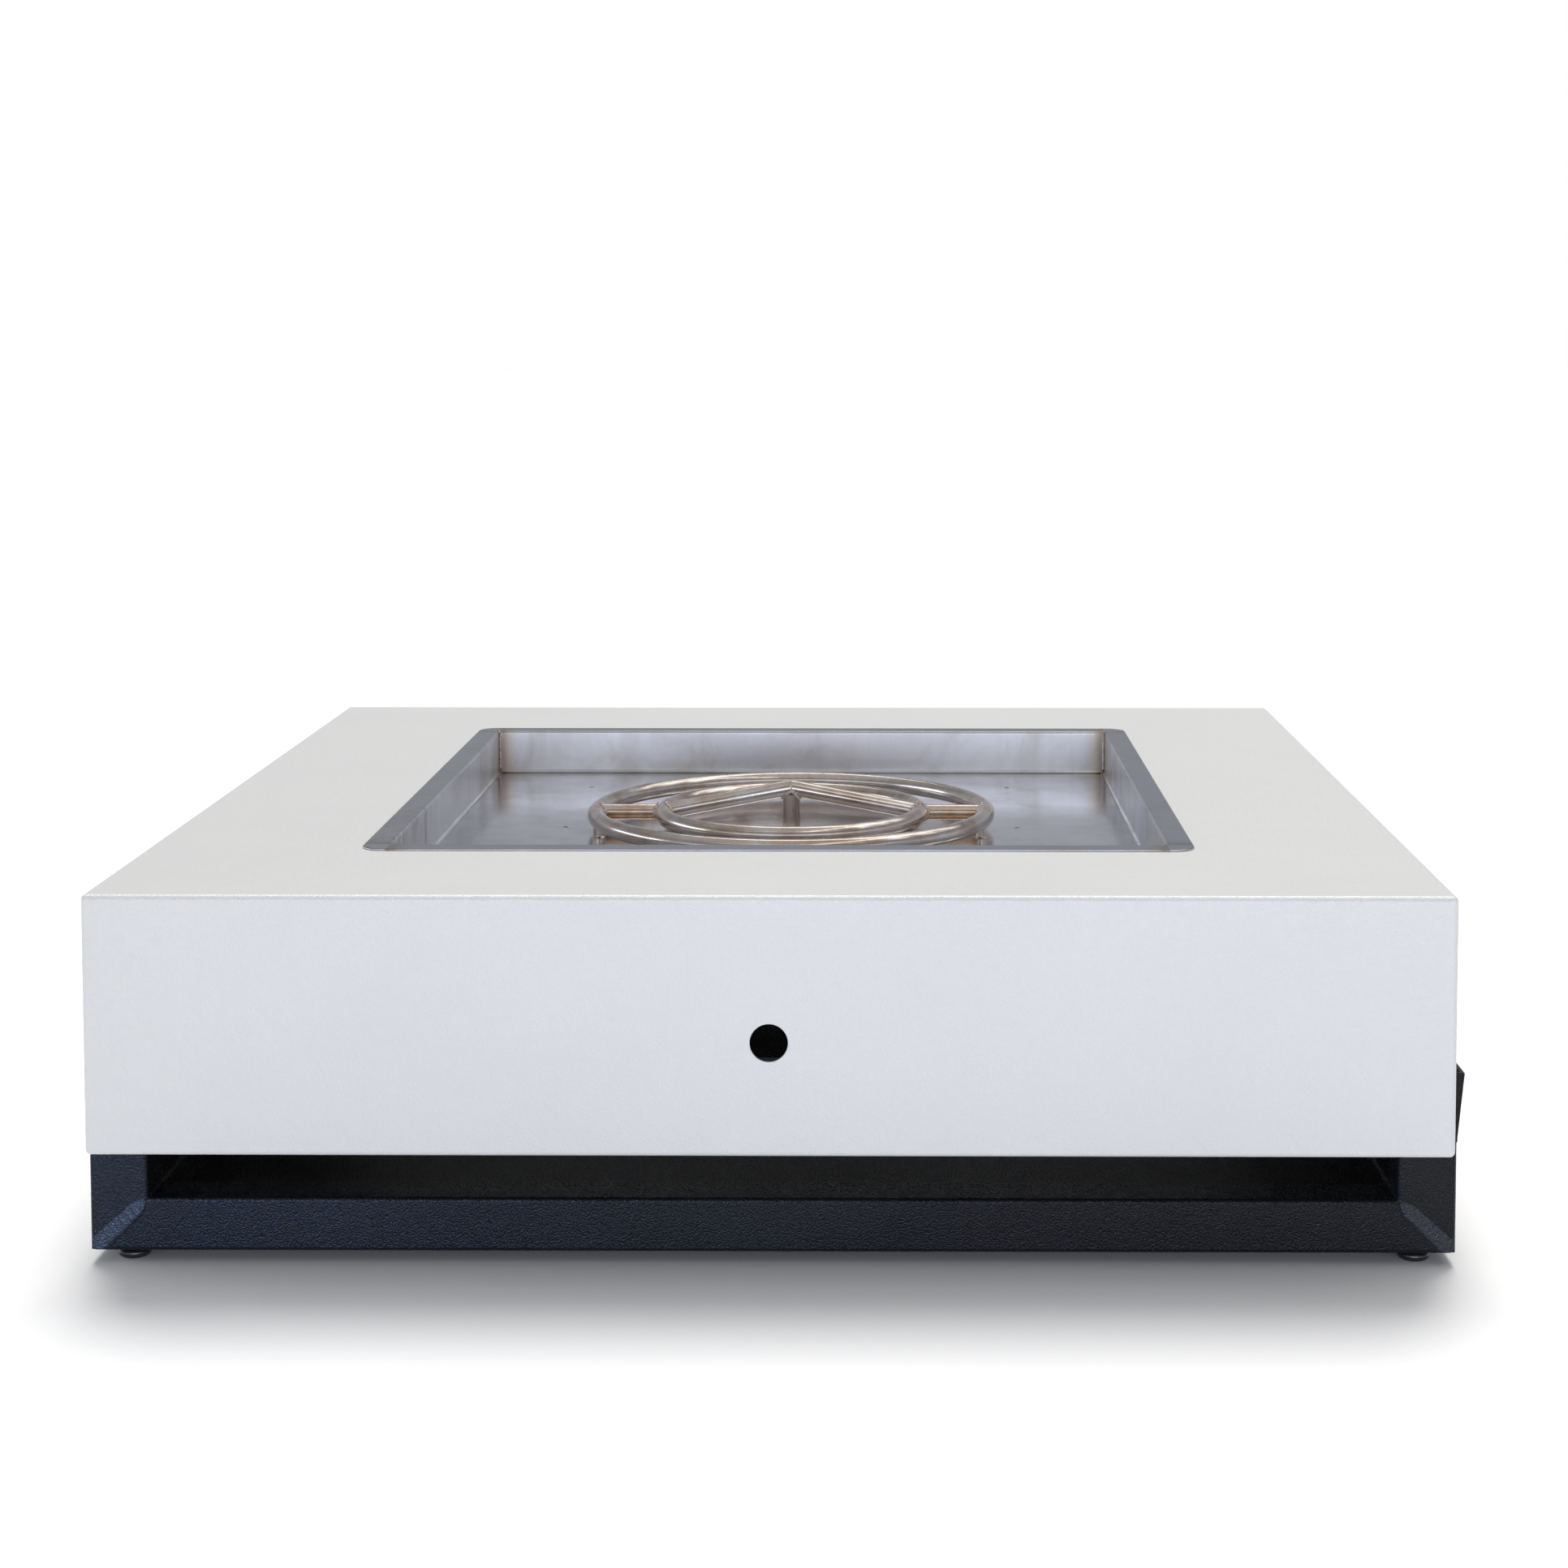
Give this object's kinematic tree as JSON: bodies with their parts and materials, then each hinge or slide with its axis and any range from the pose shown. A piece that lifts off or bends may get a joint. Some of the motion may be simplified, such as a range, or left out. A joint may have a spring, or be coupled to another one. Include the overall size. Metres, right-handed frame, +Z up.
{
  "type": "gas fire table",
  "caption": "Low square outdoor gas fire table: folded white steel shell, drop-in stainless pan with a double-ring burner, black square-tube base with levelling feet.",
  "frame": {"origin": "on the floor, under the middle of the table", "axes": "+Z up, -Y towards the front with the control hole, +X to the right seen from the front"},
  "size_m": [1.26, 1.22, 0.3575],
  "materials": {
    "white_powder_coat": "textured powder coat, satin",
    "black_powder_coat": "textured powder coat, satin",
    "foot_plastic": "gloss",
    "zinc_steel": "zinc plated",
    "pan_stainless": "brushed, smudged",
    "burner_stainless": "polished, heat tinted",
    "line_stainless": "corrugated",
    "brass": "machined",
    "dark_steel": "black oxide"
  },
  "bodies": {
    "base": {"front_rail": "black_powder_coat", "back_rail": "black_powder_coat", "left_rail": "black_powder_coat", "right_rail": "black_powder_coat", "front_left_post": "black_powder_coat", "front_right_post": "black_powder_coat", "back_left_post": "black_powder_coat", "back_right_post": "black_powder_coat", "post_caps": "black_powder_coat", "left_cheek": "black_powder_coat", "right_cheek": "black_powder_coat", "bottom_tray": "black_powder_coat", "foot_inserts": "zinc_steel"},
    "front_left_foot_pad": {"front_left_pad": "foot_plastic"},
    "front_left_foot_stud": {"front_left_stud": "zinc_steel"},
    "front_right_foot_pad": {"front_right_pad": "foot_plastic"},
    "front_right_foot_stud": {"front_right_stud": "zinc_steel"},
    "back_left_foot_pad": {"back_left_pad": "foot_plastic"},
    "back_left_foot_stud": {"back_left_stud": "zinc_steel"},
    "back_right_foot_pad": {"back_right_pad": "foot_plastic"},
    "back_right_foot_stud": {"back_right_stud": "zinc_steel"},
    "shell": {"top_panel": "white_powder_coat", "front_apron": "white_powder_coat", "back_apron": "white_powder_coat", "left_apron": "white_powder_coat", "right_apron": "white_powder_coat", "valve_bracket": "black_powder_coat", "valve_body": "brass", "bonnet_nut": "dark_steel", "inlet_fitting": "brass", "outlet_fitting": "brass", "gas_line": "line_stainless", "line_nuts": "brass"},
    "pan": {"drop_in_pan": "pan_stainless", "outer_ring": "burner_stainless", "inner_ring": "burner_stainless", "left_spoke": "burner_stainless", "right_spoke": "burner_stainless", "left_arm": "burner_stainless", "right_arm": "burner_stainless", "riser_post": "burner_stainless", "ring_supports": "burner_stainless", "pan_washer": "pan_stainless", "pan_locknut": "brass", "air_mixer": "brass"},
    "valve_key_stem": {"valve_stem": "dark_steel", "valve_plug": "brass"}
  },
  "joints": [
    {"name": "front_left_foot_slide", "type": "slide", "parent": "base", "child": "front_left_foot_pad", "axis": [0, 0, -1], "range_m": [0, 0.02]},
    {"name": "front_left_foot_turn", "type": "hinge", "parent": "front_left_foot_pad", "child": "front_left_foot_stud", "pos_m": [-0.59, -0.525, 0.02], "axis": [0, 0, -1], "range_deg": [0, 4800]},
    {"name": "front_right_foot_slide", "type": "slide", "parent": "base", "child": "front_right_foot_pad", "axis": [0, 0, -1], "range_m": [0, 0.02]},
    {"name": "front_right_foot_turn", "type": "hinge", "parent": "front_right_foot_pad", "child": "front_right_foot_stud", "pos_m": [0.59, -0.525, 0.02], "axis": [0, 0, -1], "range_deg": [0, 4800]},
    {"name": "back_left_foot_slide", "type": "slide", "parent": "base", "child": "back_left_foot_pad", "axis": [0, 0, -1], "range_m": [0, 0.02]},
    {"name": "back_left_foot_turn", "type": "hinge", "parent": "back_left_foot_pad", "child": "back_left_foot_stud", "pos_m": [-0.59, 0.525, 0.02], "axis": [0, 0, -1], "range_deg": [0, 4800]},
    {"name": "back_right_foot_slide", "type": "slide", "parent": "base", "child": "back_right_foot_pad", "axis": [0, 0, -1], "range_m": [0, 0.02]},
    {"name": "back_right_foot_turn", "type": "hinge", "parent": "back_right_foot_pad", "child": "back_right_foot_stud", "pos_m": [0.59, 0.525, 0.02], "axis": [0, 0, -1], "range_deg": [0, 4800]},
    {"name": "shell_lift", "type": "slide", "parent": "base", "child": "shell", "axis": [0, 0, 1], "range_m": [0, 0.15]},
    {"name": "pan_lift", "type": "slide", "parent": "shell", "child": "pan", "axis": [0, 0, 1], "range_m": [0, 0.12]},
    {"name": "valve_turn", "type": "hinge", "parent": "shell", "child": "valve_key_stem", "pos_m": [0, -0.52, 0.222], "axis": [0, -1, 0], "range_deg": [0, 90]}
  ],
  "couplings": [
    {"joint": "front_left_foot_turn", "follows": "front_left_foot_slide", "rad_per_m": 4188.8},
    {"joint": "front_right_foot_turn", "follows": "front_right_foot_slide", "rad_per_m": 4188.8},
    {"joint": "back_left_foot_turn", "follows": "back_left_foot_slide", "rad_per_m": 4188.8},
    {"joint": "back_right_foot_turn", "follows": "back_right_foot_slide", "rad_per_m": 4188.8}
  ]
}
